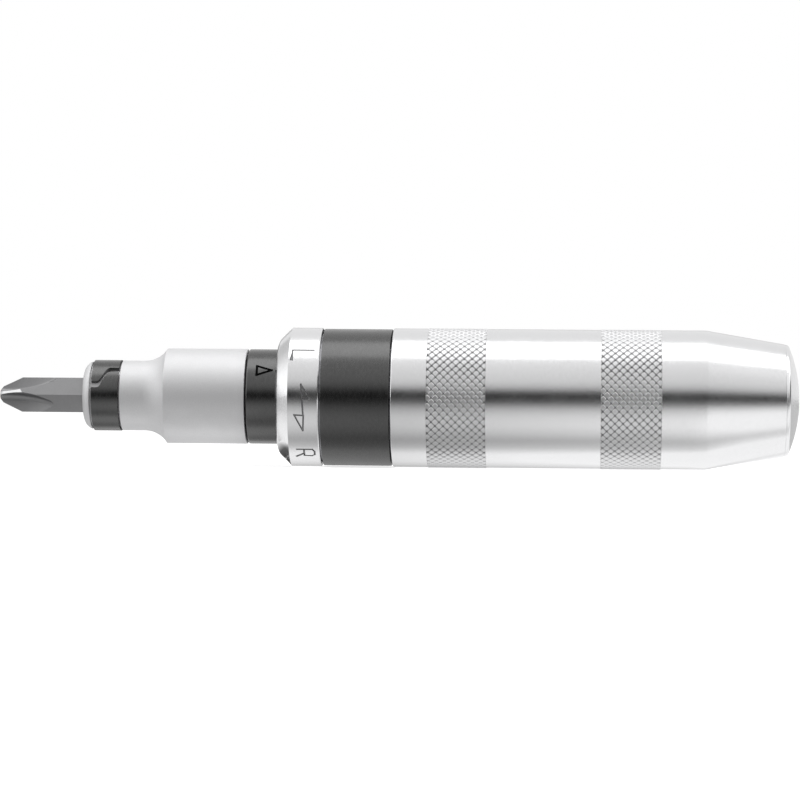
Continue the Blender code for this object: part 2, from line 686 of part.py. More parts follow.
def main():
    for obj in list(bpy.data.objects):
        bpy.data.objects.remove(obj)
    parts = new_collection("hand_impact_driver")
    cutters = new_collection("cutters")
    chrome = material("satin_chrome", (0.80, 0.80, 0.80), 0.25, 1.0)
    matt_chrome = material("matt_chrome", (0.78, 0.78, 0.78), 0.40, 1.0)
    blackened = material("blackened_steel", (0.06, 0.06, 0.06), 0.40, 1.0)
    bit_steel = material("bit_steel", (0.35, 0.35, 0.35), 0.45, 1.0)
    steel = material("spring_steel", (0.45, 0.45, 0.46), 0.35, 1.0)
    hardened = material("hardened_steel", (0.30, 0.30, 0.31), 0.40, 1.0)
    bronze = material("bearing_bronze", (0.60, 0.42, 0.22), 0.35, 1.0)
    rubber = material("seal_rubber", (0.02, 0.02, 0.02), 0.70, 0.0)

    make_bit(parts, cutters, bit_steel)
    make_bit_holder(parts, cutters, matt_chrome)
    make_retaining_band(parts, cutters, blackened)
    ball(
        "bit_ball",
        BIT_BALL_RADIUS,
        BIT_BALL_STATION,
        BIT_BALL_ANGLE,
        BIT_BALL_DISTANCE,
        parts,
        steel,
    )
    make_spindle(parts, cutters, blackened)
    make_drive_ball(parts, steel)
    post("cross_pin", PIN_RADIUS, PIN_STATION, PIN_ANGLE, -PIN_END, PIN_END, parts, steel)

    make_direction_ring(parts, chrome)
    make_spindle_seal(parts, rubber)
    make_circlip(parts, cutters, steel)
    tube("front_bush", BUSH_FRONT, BUSH_REAR, RUNNING_RADIUS, BUSH_RADIUS, parts, bronze)
    washer_rear = FLANGE_WASHER_FRONT + FLANGE_WASHER_THICKNESS
    tube(
        "flange_washer",
        FLANGE_WASHER_FRONT,
        washer_rear,
        RUNNING_RADIUS,
        BUSH_RADIUS,
        parts,
        hardened,
    )
    make_cam_sleeve(parts, cutters, hardened)
    collar_front = RING_REAR + GAP
    collar_rear = HANDLE_FRONT - GAP
    tube("collar_ring", collar_front, collar_rear, RING_BORE, COLLAR_RADIUS, parts, blackened)
    tube(
        "rear_bush", REAR_BUSH_FRONT, SLEEVE_REAR, RUNNING_RADIUS, REAR_BUSH_RADIUS, parts, bronze
    )

    make_hammer_handle(parts, chrome)
    tube(
        "thrust_washer",
        THRUST_WASHER_FRONT,
        THRUST_WASHER_REAR,
        THRUST_WASHER_HOLE,
        HANDLE_BORE - THRUST_WASHER_PLAY,
        parts,
        hardened,
    )
    coil(
        "return_spring",
        at(THRUST_WASHER_REAR + GAP),
        at(SEAT_FRONT - GAP),
        SPRING_MEAN_RADIUS,
        SPRING_WIRE,
        SPRING_TURNS,
        SPRING_END_SPACE,
        parts,
        steel,
    )
    make_spring_seat(parts, steel)


if __name__ == "__main__":
    main()
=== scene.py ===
"""Dresses a hand impact driver: the fine shapes, the surfaces, the stage and the camera. Lengths are in
metres, the tool's axis runs along X with the bit at -X, and the direction marks face -Y."""

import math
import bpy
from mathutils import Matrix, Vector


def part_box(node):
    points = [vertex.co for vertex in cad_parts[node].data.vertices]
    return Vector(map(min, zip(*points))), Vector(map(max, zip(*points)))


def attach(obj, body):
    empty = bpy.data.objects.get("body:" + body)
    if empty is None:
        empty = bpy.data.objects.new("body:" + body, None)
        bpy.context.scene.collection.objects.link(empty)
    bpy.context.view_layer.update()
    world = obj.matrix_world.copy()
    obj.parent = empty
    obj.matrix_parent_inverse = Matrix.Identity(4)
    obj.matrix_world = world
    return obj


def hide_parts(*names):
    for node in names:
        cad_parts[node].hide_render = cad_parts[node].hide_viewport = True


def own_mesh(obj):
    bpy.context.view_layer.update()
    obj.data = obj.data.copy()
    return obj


bl_info = {
    "name": "Hand Impact Driver",
    "version": (1, 0, 0),
    "blender": (4, 5, 0),
    "location": "3D View > Sidebar > Impact Driver",
    "description": "Models the fine shapes and the surfaces of a hand impact driver",
    "category": "Add Mesh",
}

import bpy
from bpy.props import FloatProperty, FloatVectorProperty, IntProperty, PointerProperty
from mathutils import Matrix, Vector

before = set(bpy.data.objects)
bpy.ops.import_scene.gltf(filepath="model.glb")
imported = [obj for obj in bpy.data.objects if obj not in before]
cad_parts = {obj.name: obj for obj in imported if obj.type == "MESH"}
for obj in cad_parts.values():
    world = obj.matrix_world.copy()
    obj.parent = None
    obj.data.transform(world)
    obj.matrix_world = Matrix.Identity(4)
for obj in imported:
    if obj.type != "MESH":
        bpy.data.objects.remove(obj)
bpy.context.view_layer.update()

BIT_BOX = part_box("bit")
HOLDER_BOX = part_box("bit_holder")
BAND_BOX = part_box("retaining_band")
SPINDLE_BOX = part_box("spindle")
RING_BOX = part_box("direction_ring")
COLLAR_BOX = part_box("collar_ring")
HANDLE_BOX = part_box("hammer_handle")
AXIS_HEIGHT = (HANDLE_BOX[0].z + HANDLE_BOX[1].z) / 2
CLEARANCE = 0.0003
OVERRUN = 0.002
MERGE_DISTANCE = 0.0000005
HAIR = 0.00001


def outer_radius(box):
    """Half the height of a round piece's box."""
    return (box[1].z - box[0].z) / 2


def colour(hex_value):
    """A colour written as sRGB hex, as the linear values that Blender works in."""
    parts = [int(hex_value[start : start + 2], 16) / 255 for start in (1, 3, 5)]
    return tuple(c / 12.92 if c <= 0.04045 else ((c + 0.055) / 1.055) ** 2.4 for c in parts)


def length(name, description, default):
    """A length that a user may change."""
    return FloatProperty(
        name=name, description=description, default=default, min=0.0, precision=5, unit="LENGTH"
    )


def tint(name, description, hex_value):
    """A colour that a user may change."""
    return FloatVectorProperty(
        name=name, description=description, default=colour(hex_value), subtype="COLOR", min=0, max=1
    )


class ImpactDriverSizes(bpy.types.PropertyGroup):
    sides: IntProperty(name="Sides", description="Facets round a turned piece", default=144, min=24)
    edge_round: length("Edge round", "Rounding of the turned edges", 0.00025)
    bit_flats: length("Bit", "Size across the flats of the bit", 0.0080)
    drive_flats: length("Drive", "Size across the flats of the square drive", 0.0127)
    nose_radius: length("Nose radius", "Radius of the holder's nose", 0.00797)
    neck_radius: length("Neck radius", "Radius of the holder's neck", 0.0081)
    nose_round: length("Nose round", "Rounding of the holder's nose", 0.0026)
    flare_radius: length("Flare radius", "Radius of the hollow between neck and holder body", 0.0065)
    band_wall: length("Band wall", "Thickness of the retaining band", 0.0009)
    slit_width: length("Slit width", "Width of the gap in the retaining band", 0.00145)
    spindle_radius: length("Spindle radius", "Radius of the spindle", 0.01095)
    ring_chamfer: length("Ring chamfer", "Chamfer at the front of the direction ring", 0.0030)
    letter_stroke: length("Letter stroke", "Width of the strokes of L and R", 0.00042)
    arrow_stroke: length("Arrow stroke", "Width of the strokes of the arrows", 0.00038)
    pointer_stroke: length("Pointer stroke", "Width of the strokes of the pointer", 0.00056)
    mark_depth: length("Mark depth", "Depth of the engraved marks", 0.00026)
    knurl_pitch: length("Knurl pitch", "Length of one diamond along the tool", 0.00184)
    knurl_groove: length("Knurl groove", "Half the width of a groove", 0.00022)
    knurl_depth: length("Knurl depth", "Depth where two grooves cross", 0.00032)
    knurl_saddle: length("Knurl saddle", "Depth of a groove between two crossings", 0.00016)
    knurl_point: length("Knurl point", "Height of a diamond's point over its sides", 0.00004)
    knurl_count: IntProperty(name="Diamonds", description="Diamonds round the handle", default=53)
    taper_length: length("Taper", "Length of the tapered rear end", 0.0212)
    rim_radius: length("Rim radius", "Radius of the struck face", 0.0129)
    rim_round: length("Rim round", "Rounding of the struck face's rim", 0.0009)
    dome_radius: length("Dome radius", "Radius of the domed struck face", 0.0325)


class ImpactDriverColours(bpy.types.PropertyGroup):
    ground_chrome: tint("Ground chrome", "Handle and direction ring", "#E6E6E7")
    blasted_chrome: tint("Blasted chrome", "Bit holder", "#D6D6D7")
    knurled_chrome: tint("Knurled chrome", "Knurled bands of the handle", "#D9D9DA")
    stamped_chrome: tint("Stamped chrome", "Floors of the letters", "#8F8F90")
    stamped_arrow: tint("Stamped arrows", "Floors of the arrows", "#ACACAD")
    black_oxide: tint("Black oxide", "Spindle, collar and band", "#5D5D5D")
    stamped_black: tint("Stamped black", "Floor of the pointer", "#161616")
    bit_steel: tint("Bit steel", "Bit", "#8C8C8D")
    bit_point: tint("Bit point", "Ground point of the bit", "#D6D6D7")
    spring_steel: tint("Spring steel", "Springs, balls, pin and circlip", "#A6A6A8")
    hardened_steel: tint("Hardened steel", "Sleeve, washers and seat", "#8C8C8F")
    bronze: tint("Bronze", "Bushes", "#C79A5B")
    rubber: tint("Rubber", "Seal", "#1A1A1A")
    floor: tint("Floor", "Floor of the stage", "#F2F2F2")


def sizes():
    """The sizes set in the panel."""
    return bpy.context.scene.impact_driver_sizes


def colours():
    """The colours set in the panel."""
    return bpy.context.scene.impact_driver_colours


def connect(tree, node, links):
    """Links a node's sockets to outputs of other nodes. A node stands for its first output."""
    for name, source in links.items():
        output = source.outputs[0] if isinstance(source, bpy.types.Node) else source
        tree.links.new(output, node.inputs[name])


def add_node(tree, kind, inputs=None, links=None, **settings):
    """Adds a shader node, sets its properties and its sockets, and links it to other nodes."""
    made = tree.nodes.new("ShaderNode" + kind)
    for name, value in settings.items():
        setattr(made, name, value)
    for name, value in (inputs or {}).items():
        made.inputs[name].default_value = value
    connect(tree, made, links or {})
    return made


def new_surface(name):
    """A new material, with its tree of nodes and its shader."""
    made = bpy.data.materials.new(name)
    made.use_nodes = True
    return made, made.node_tree, made.node_tree.nodes["Principled BSDF"]


def metal(name, base, roughness, spread, streaks_mm, blotch_mm, bump, tone):
    """A metal with the marks of its making: streaks of this spacing along X, Y and Z turn into roughness,
    tone and relief, and larger blotches keep it from being even."""
    if name in bpy.data.materials:
        return bpy.data.materials[name]
    made, tree, shader = new_surface(name)
    shader.inputs["Metallic"].default_value = 1.0
    place = add_node(tree, "TexCoord").outputs["Object"]
    per_metre = [1000 / size for size in streaks_mm]
    stretched = add_node(tree, "Mapping", {"Scale": per_metre}, {"Vector": place})
    streaks = add_node(
        tree, "TexNoise", {"Scale": 1.0, "Detail": 3.0, "Roughness": 0.6}, {"Vector": stretched}
    )
    blotches = add_node(
        tree, "TexNoise", {"Scale": 1000 / blotch_mm, "Detail": 4.0, "Roughness": 0.55}, {"Vector": place}
    )
    mixed = add_node(tree, "Math", links={0: streaks, 1: blotches}, operation="ADD")
    low, high = roughness - spread, roughness + spread
    rough = add_node(
        tree, "MapRange", links={"Value": mixed},
        inputs={"From Min": 0.6, "From Max": 1.4, "To Min": low, "To Max": high},
    )
    ramp = add_node(tree, "ValToRGB", links={"Fac": streaks})
    for element, position, share in zip(ramp.color_ramp.elements, (0.3, 0.7), (1 - tone, 1 + tone)):
        element.position = position
        element.color = (*(min(1.0, c * share) for c in base), 1)
    relief = add_node(tree, "Bump", {"Strength": bump, "Distance": 0.00002}, {"Height": streaks})
    connect(tree, shader, {"Roughness": rough, "Base Color": ramp, "Normal": relief})
    return made


def ground_chrome():
    """Chrome plate over steel ground round and round: bright, with short fine marks that ruffle the
    edge of a dark reflection."""
    return metal("ground_chrome_plate", colours().ground_chrome, 0.20, 0.04, (0.22, 0.7, 0.7), 5, 0.6, 0.03)


def knurled_chrome():
    """Chrome plate over rolled diamonds: duller than the ground steel, and darker in the grooves, most
    of all where two of them cross: painted shade, darkening the colour with depth."""
    name = "knurled_chrome_with_painted_groove_shade"
    if name in bpy.data.materials:
        return bpy.data.materials[name]
    made = metal(name, colours().knurled_chrome, 0.37, 0.06, (0.3, 0.3, 0.3), 3, 0.3, 0.06)
    tree = made.node_tree
    shader = tree.nodes["Principled BSDF"]
    plain = shader.inputs["Base Color"].links[0].from_socket
    place = add_node(tree, "TexCoord").outputs["Object"]
    from_axis = add_node(
        tree, "Mapping", {"Location": (0, 0, -AXIS_HEIGHT), "Scale": (0, 1, 1)}, {"Vector": place}
    )
    away = add_node(tree, "VectorMath", links={0: from_axis}, operation="LENGTH")
    crest = outer_radius(HANDLE_BOX)
    # Painted shade: the base colour darkens towards the groove floors, down to a twentieth at the crossings.
    full_shade_radius, no_shade_radius = crest - sizes().knurl_depth, crest - 0.00009
    share = add_node(
        tree, "MapRange", links={"Value": away.outputs["Value"]},
        inputs={"From Min": full_shade_radius, "From Max": no_shade_radius, "To Min": 0.05, "To Max": 1.0},
    )
    shaded = add_node(tree, "VectorMath", links={0: plain, "Scale": share}, operation="SCALE")
    connect(tree, shader, {"Base Color": shaded})
    return made


def stamped_chrome():
    """The floor of a stamped mark under the chrome: rough, because no grinding reached it, and grey with
    painted shade of the recess.
    """
    return metal("stamped_chrome_painted_shade", colours().stamped_chrome, 0.40, 0.06, (0.2, 0.2, 0.2), 2, 0.4, 0.10)


def stamped_arrow():
    """The floor of the stamped arrows: rough, and grey with painted shade of the recess, paler than the
    letters.
    """
    return metal("stamped_arrow_painted_shade", colours().stamped_arrow, 0.50, 0.06, (0.2, 0.2, 0.2), 2, 0.4, 0.08)


def blasted_chrome():
    """Chrome plate over bead-blasted steel: pale and even, with a fine grain and no clear reflection."""
    return metal(
        "blasted_chrome_plate", colours().blasted_chrome, 0.63, 0.05, (0.20, 0.20, 0.20), 3, 0.35, 0.05
    )


def black_oxide():
    """Black oxide over turned steel, oiled: nearly black, half gloss, with a faintly mottled gloss."""
    return metal("black_oxide", colours().black_oxide, 0.26, 0.05, (0.4, 0.9, 0.9), 3, 0.2, 0.08)


def stamped_black():
    """The floor of a stamped mark under black oxide: deep black and matt."""
    return metal("stamped_black_floor", colours().stamped_black, 0.45, 0.05, (0.2, 0.2, 0.2), 2, 0.3, 0.10)


def blasted_steel():
    """Blasted tool steel: mid grey and matt, with a speckled grain."""
    return metal("blasted_tool_steel", colours().bit_steel, 0.48, 0.06, (0.15, 0.15, 0.15), 2, 0.4, 0.08)


def ground_and_highlit_point():
    """The bit's point, ground after blasting: bright steel with fine grinding lines. On the rounded edges
    and on the camera side of the point it is also a painted highlight.
    """
    return metal("ground_bit_point_with_painted_highlight", colours().bit_point, 0.30, 0.05, (0.12, 0.8, 0.8), 2, 0.3, 0.06)


def spring_steel():
    """Oiled spring steel: smooth grey with faint drawing marks."""
    return metal("oiled_spring_steel", colours().spring_steel, 0.28, 0.06, (0.3, 0.3, 0.3), 2, 0.2, 0.08)


def hardened_steel():
    """Hardened and ground steel: darker grey with grinding rings."""
    return metal("ground_hardened_steel", colours().hardened_steel, 0.32, 0.06, (0.12, 4, 4), 3, 0.3, 0.10)


def sintered_bronze():
    """Sintered bronze: brownish yellow, matt, full of fine pores."""
    return metal("sintered_bronze", colours().bronze, 0.42, 0.08, (0.12, 0.12, 0.12), 1.5, 0.5, 0.18)


def nitrile_rubber():
    """Moulded nitrile rubber: black and matt, with a fine grain that breaks the light."""
    made, tree, shader = new_surface("moulded_nitrile_rubber")
    shader.inputs["Base Color"].default_value = (*colours().rubber, 1)
    shader.inputs["IOR"].default_value = 1.52
    place = add_node(tree, "TexCoord").outputs["Object"]
    grain = add_node(tree, "TexNoise", {"Scale": 1000 / 0.15, "Detail": 3.0}, {"Vector": place})
    rough = add_node(tree, "MapRange", {"To Min": 0.55, "To Max": 0.8}, {"Value": grain})
    relief = add_node(tree, "Bump", {"Strength": 0.3, "Distance": 0.00003}, {"Height": grain})
    connect(tree, shader, {"Roughness": rough, "Normal": relief})
    return made


def deselect():
    """Leaves no object selected."""
    bpy.ops.object.select_all(action="DESELECT")


def pick(obj):
    """Selects this object alone, and makes it the active one."""
    deselect()
    bpy.context.view_layer.objects.active = obj
    obj.select_set(True)


def edit(obj):
    """Goes into edit mode on this object alone, with all of its mesh selected."""
    pick(obj)
    bpy.ops.object.mode_set(mode="EDIT")
    bpy.ops.mesh.select_all(action="SELECT")


def leave_edit():
    """Goes back to object mode."""
    bpy.ops.object.mode_set(mode="OBJECT")


def settled(name, scale=(1, 1, 1)):
    """Names the object that was just added, and puts its place, turn and scale into its mesh, so that
    it stands at the origin."""
    obj = bpy.context.object
    obj.name = name
    obj.scale = scale
    pick(obj)
    bpy.ops.object.transform_apply(location=True, rotation=True, scale=True)
    return obj


def arc(centre, radius, start, end, steps):
    """Points (x, radius) on an arc, from angle start to end in degrees."""
    angles = [math.radians(start + (end - start) * step / steps) for step in range(steps + 1)]
    return [(centre[0] + radius * math.cos(a), centre[1] + radius * math.sin(a)) for a in angles]


def run(start, end, steps):
    """Points on a straight run, both ends included."""
    return [tuple(a + (b - a) * step / steps for a, b in zip(start, end)) for step in range(steps + 1)]


def round_point(x, distance, angle):
    """The point at this distance from the tool's axis and this angle round it."""
    return x, distance * math.cos(angle), AXIS_HEIGHT + distance * math.sin(angle)


def set_distance(corner, distance):
    """Moves a corner of a mesh straight out or in, to this distance from the tool's axis."""
    away = math.hypot(corner.co.y, corner.co.z - AXIS_HEIGHT)
    corner.co.y *= distance / away
    corner.co.z = AXIS_HEIGHT + (corner.co.z - AXIS_HEIGHT) * distance / away


def turn(name, outline, closed=True, sides=None):
    """Turns an outline of (x, radius) points about the tool's axis: one point is extruded from place to
    place, and the line is spun round."""
    first = outline[0]
    deselect()
    bpy.ops.mesh.primitive_plane_add(size=0.001, location=(first[0], 0, AXIS_HEIGHT + first[1]))
    obj = settled(name)
    edit(obj)
    bpy.ops.mesh.merge(type="CENTER")
    points = outline + [first] if closed else outline
    for before, after in zip(points, points[1:]):
        step = (after[0] - before[0], 0, after[1] - before[1])
        bpy.ops.mesh.extrude_region_move(TRANSFORM_OT_translate={"value": step})
    bpy.ops.mesh.select_all(action="SELECT")
    bpy.ops.mesh.remove_doubles(threshold=MERGE_DISTANCE)
    bpy.ops.mesh.spin(
        steps=sides or sizes().sides,
        angle=2 * math.pi,
        center=(0, 0, AXIS_HEIGHT),
        axis=(1, 0, 0),
        use_auto_merge=True,
    )
    bpy.ops.mesh.select_all(action="SELECT")
    bpy.ops.mesh.remove_doubles(threshold=MERGE_DISTANCE)
    bpy.ops.mesh.normals_make_consistent(inside=False)
    leave_edit()
    return obj


def block(name, low, high):
    """A box between two corners, given from the tool's axis."""
    middle = [(a + b) / 2 for a, b in zip(low, high)]
    deselect()
    bpy.ops.mesh.primitive_cube_add(size=1, location=(middle[0], middle[1], AXIS_HEIGHT + middle[2]))
    return settled(name, [b - a for a, b in zip(low, high)])


def rod(name, radius, centre, depth, axis, sides=48):
    """A round or many-sided rod along X or Z, with its middle given from the tool's axis."""
    deselect()
    bpy.ops.mesh.primitive_cylinder_add(
        vertices=sides,
        radius=radius,
        depth=depth,
        location=(centre[0], centre[1], AXIS_HEIGHT + centre[2]),
        rotation=(0, math.pi / 2 if axis == "X" else 0, 0),
    )
    return settled(name)


def shape_with(obj, tool, operation="DIFFERENCE"):
    """Cuts, joins or crosses the object with the tool, and removes the tool."""
    pick(obj)
    change = obj.modifiers.new("shape", "BOOLEAN")
    change.operation = operation
    change.object = tool
    change.solver = "EXACT"
    change.material_mode = "TRANSFER" if tool.data.materials else "INDEX"
    bpy.ops.object.modifier_apply(modifier=change.name)
    bpy.data.objects.remove(tool)


def soften(obj, width, angle, segments, surface=-1):
    """Rounds the sharp edges of a piece. The rounds may have a surface of their own."""
    pick(obj)
    change = obj.modifiers.new("round", "BEVEL")
    change.width = width
    change.segments = segments
    change.limit_method = "ANGLE"
    change.angle_limit = math.radians(angle)
    change.material = surface
    bpy.ops.object.modifier_apply(modifier=change.name)


def coat(obj, surface):
    """Gives a piece its main surface. Marks that are cut later may bring a second one."""
    obj.data.materials.clear()
    obj.data.materials.append(surface)


def finish_piece(obj, body, node, angle):
    """Gives a piece smooth shading, and lets it stand for its CAD node."""
    pick(obj)
    bpy.ops.object.shade_smooth_by_angle(angle=math.radians(angle))
    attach(obj, body)
    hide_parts(node)


def engrave(obj, radius, strokes, width, surface):
    """Cuts strokes into a round surface. A stroke is two points (x, degrees above the side that faces
    the camera), and may have its shares of the width at its two ends. Each is a bar that narrows to its
    floor, laid along the surface, a little deeper than the one before, so that no two floors lie in
    one plane."""
    floor_share = 0.3
    bars = []
    for number, ((x1, up1), (x2, up2), *shares) in enumerate(strokes):
        share_start, share_end = shares or (1.0, 1.0)
        depth = sizes().mark_depth * (1 + 0.013 * number)
        above = depth * (0.6 + 0.011 * number)
        top_share = 1 + (1 - floor_share) * above / depth
        start = Vector((x1, math.radians(up1) * radius))
        end = Vector((x2, math.radians(up2) * radius))
        along = end - start
        full_length = along.length + width * top_share
        deselect()
        bpy.ops.mesh.primitive_cube_add(size=1)
        bar = settled("stroke", (full_length, width * top_share, depth + above))
        long_share = (along.length + width * floor_share) / full_length
        for corner in bar.data.vertices:
            if corner.co.z < 0:
                corner.co.x *= long_share
                corner.co.y *= floor_share / top_share
        edit(bar)
        bpy.ops.mesh.subdivide(number_cuts=5)
        leave_edit()
        coat(bar, surface)
        middle = (start + end) / 2
        turned = Matrix.Rotation(math.atan2(along.y, along.x), 4, "Z")
        for corner in bar.data.vertices:
            corner.co.y *= share_start + (share_end - share_start) * (corner.co.x / full_length + 0.5)
            flat = turned @ corner.co
            angle = math.pi - (middle.y + flat.y) / radius
            corner.co = round_point(middle.x + flat.x, radius + flat.z + (above - depth) / 2, angle)
        edit(bar)
        bpy.ops.mesh.normals_make_consistent(inside=False)
        leave_edit()
        bars.append(bar)
    sliver = 0.000002
    for bar in bars:
        shape_with(obj, bar)
        edit(obj)
        bpy.ops.mesh.remove_doubles(threshold=sliver)
        leave_edit()


class MESH_OT_impact_driver_bit(bpy.types.Operator):
    """Model the hexagon bit with its cross point"""

    bl_idname = "mesh.impact_driver_bit"
    bl_label = "Bit"

    def execute(self, context):
        tip, rear = BIT_BOX[0].x, BIT_BOX[1].x
        flats = sizes().bit_flats
        corner = flats / 2 / math.cos(math.pi / 6)
        bit = rod("cross_point_bit", corner, ((tip + rear) / 2, 0, 0), rear - tip, "X", sides=6)
        # Turned on to its next corner, the hexagon looks the same, but the cuts divide it in another way.
        edit(bit)
        for _ in range(2):
            bpy.ops.transform.rotate(
                value=math.pi / 6, orient_axis="X", center_override=((tip + rear) / 2, 0, AXIS_HEIGHT)
            )
        leave_edit()
        tip_radius, point_radius, rear_chamfer = 0.0010, 0.0019, 0.0005
        point_length, cone_end = 0.0007, 0.0050
        slope = (flats / 2 - point_radius) / (cone_end - point_length)
        outside = corner + OVERRUN
        outline = [
            (tip, 0.0),
            (tip, tip_radius),
            (tip + point_length, point_radius),
            (tip + point_length + (outside - point_radius) / slope, outside),
            (rear - rear_chamfer - OVERRUN, outside),
            (rear, corner - rear_chamfer),
            (rear, 0.0),
        ]
        shape_with(bit, turn("bit_outline", outline, closed=False), "INTERSECT")
        coat(bit, blasted_steel())
        wheel_radius, half_width, wall, valley = 0.0200, 0.0070, math.radians(46), 0.0013
        first_flute, core, deepest = 32, 0.00042, tip + 0.0024
        rounded = [
            (valley * math.sin(t), wheel_radius - valley / math.sin(wall) + valley * math.cos(t))
            for t in map(math.radians, range(-40, 41, 4))
        ]
        edge = wheel_radius - half_width / math.tan(wall)
        outline = [(-half_width, 0.0), (-half_width, edge), *rounded, (half_width, edge), (half_width, 0.0)]
        to_centre = Matrix.Translation((0, 0, -AXIS_HEIGHT))
        for flute in range(4):
            angle = math.radians(first_flute + 90 * flute)
            wheel = turn("flute_wheel", outline, closed=False, sides=240)
            outward = Vector((0, math.cos(angle), math.sin(angle)))
            out = Vector((deepest, 0, AXIS_HEIGHT)) + (core + wheel_radius) * outward
            across = Matrix.Rotation(angle + math.pi / 2, 4, "X") @ Matrix.Rotation(math.pi / 2, 4, "Z")
            wheel.data.transform(Matrix.Translation(out) @ across @ to_centre)
            shape_with(bit, wheel)
        # Painted highlight over a ground point: the rounded edges and the point's forward faces on the -Y
        # side, which faces the camera, take the bright steel.
        bit.data.materials.append(ground_and_highlit_point())
        soften(bit, 0.00018, 20, 2, surface=1)
        ground_and_highlit_length, forward = 0.0047, -0.33
        for face in bit.data.polygons:
            if face.center.x < tip + ground_and_highlit_length and face.normal.x < forward and face.normal.y < 0:
                face.material_index = 1
        finish_piece(bit, "bit", "bit", 6)
        return {"FINISHED"}


class MESH_OT_impact_driver_holder(bpy.types.Operator):
    """Model the bit holder with its nose, groove, neck, flare and sockets"""

    bl_idname = "mesh.impact_driver_holder"
    bl_label = "Bit holder"

    def execute(self, context):
        size = sizes()
        front, rear = HOLDER_BOX[0].x, HOLDER_BOX[1].x
        body_radius = outer_radius(HOLDER_BOX)
        groove_front = BAND_BOX[0].x + 0.0002
        groove_rear = BAND_BOX[1].x + CLEARANCE
        band_radius = outer_radius(BAND_BOX)
        floor_radius = band_radius - size.band_wall - 0.00006
        nose = (front + size.nose_round, size.nose_radius - size.nose_round)
        lip_angle = math.degrees(math.acos((groove_front - 0.0002 - nose[0]) / size.nose_round))
        neck_end, flare_length = front + 0.0139, 0.0057
        flare = (neck_end, size.neck_radius + size.flare_radius)
        flare_end = -math.degrees(math.asin((flare[1] - body_radius) / size.flare_radius))
        edge = size.edge_round
        lip = arc(nose, size.nose_round, 180, lip_angle, 14)
        outline = [
            (front, 0.0),
            *lip,
            (groove_front, lip[-1][1] - 0.0001),
            (groove_front, floor_radius),
            (groove_rear, floor_radius),
            (groove_rear, size.neck_radius - 0.00015),
            (groove_rear + 0.00015, size.neck_radius),
            *arc(flare, size.flare_radius, -90, flare_end, 20),
            *run((neck_end + flare_length, body_radius), (rear - edge, body_radius), 8),
            (rear - edge / 3, body_radius - edge / 3),
            (rear, body_radius - edge),
            (rear, 0.0),
        ]
        holder = turn("bit_holder_finish", outline, closed=False)
        hexagon = (size.bit_flats / 2 + CLEARANCE) / math.cos(math.pi / 6)
        depth = BIT_BOX[1].x + CLEARANCE - (front - OVERRUN)
        socket = rod("socket", hexagon, (front - OVERRUN + depth / 2, 0, 0), depth, "X", sides=6)
        shape_with(holder, socket)
        ball_low, ball_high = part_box("bit_ball")
        ball = (ball_low + ball_high) / 2
        radius = (ball_high.x - ball_low.x) / 2
        out = Vector((ball.y, ball.z - AXIS_HEIGHT))
        hole = rod("ball_hole", radius + CLEARANCE, (ball.x, 0, out.length), 0.005, "Z")
        hole.data.transform(
            Matrix.Translation((0, 0, AXIS_HEIGHT))
            @ Matrix.Rotation(math.atan2(-out.x, out.y), 4, "X")
            @ Matrix.Translation((0, 0, -AXIS_HEIGHT))
        )
        shape_with(holder, hole)
        half = size.drive_flats / 2 + CLEARANCE
        floor = SPINDLE_BOX[0].x - CLEARANCE
        shape_with(holder, block("square", (floor, -half, -half), (rear + OVERRUN, half, half)))
        soften(holder, 0.00012, 50, 2)
        coat(holder, blasted_chrome())
        finish_piece(holder, "bit_holder", "bit_holder", 34)
        return {"FINISHED"}


class MESH_OT_impact_driver_band(bpy.types.Operator):
    """Model the split retaining band with its S-shaped gap"""

    bl_idname = "mesh.impact_driver_band"
    bl_label = "Retaining band"

    def execute(self, context):
        size = sizes()
        front, rear = BAND_BOX[0].x + 0.00065, BAND_BOX[1].x
        outer = outer_radius(BAND_BOX)
        inner = outer - size.band_wall
        outline = [(front, inner), *run((front, outer), (rear, outer), 14), (rear, inner)]
        band = turn("retaining_band_finish", outline)
        deselect()
        bpy.ops.mesh.primitive_cube_add(size=1)
        slit = settled("slit", (rear - front + 2 * OVERRUN, size.slit_width, 4 * size.band_wall))
        edit(slit)
        bpy.ops.mesh.subdivide(number_cuts=24)
        leave_edit()
        bend_start, bend_share, front_angle, swing = 0.22, 0.44, 162, 28
        for corner in slit.data.vertices:
            share = (corner.co.x + (rear - front) / 2) / (rear - front)
            eased = min(1.0, max(0.0, (share - bend_start) / bend_share))
            eased = eased * eased * (3 - 2 * eased)
            angle = math.radians(front_angle - swing * eased) + corner.co.y / outer
            distance = outer - size.band_wall / 2 + corner.co.z
            corner.co = round_point((front + rear) / 2 + corner.co.x, distance, angle)
        edit(slit)
        bpy.ops.mesh.normals_make_consistent(inside=False)
        leave_edit()
        shape_with(band, slit)
        soften(band, 0.00020, 50, 3)
        coat(band, black_oxide())
        finish_piece(band, "bit_holder", "retaining_band", 34)
        return {"FINISHED"}


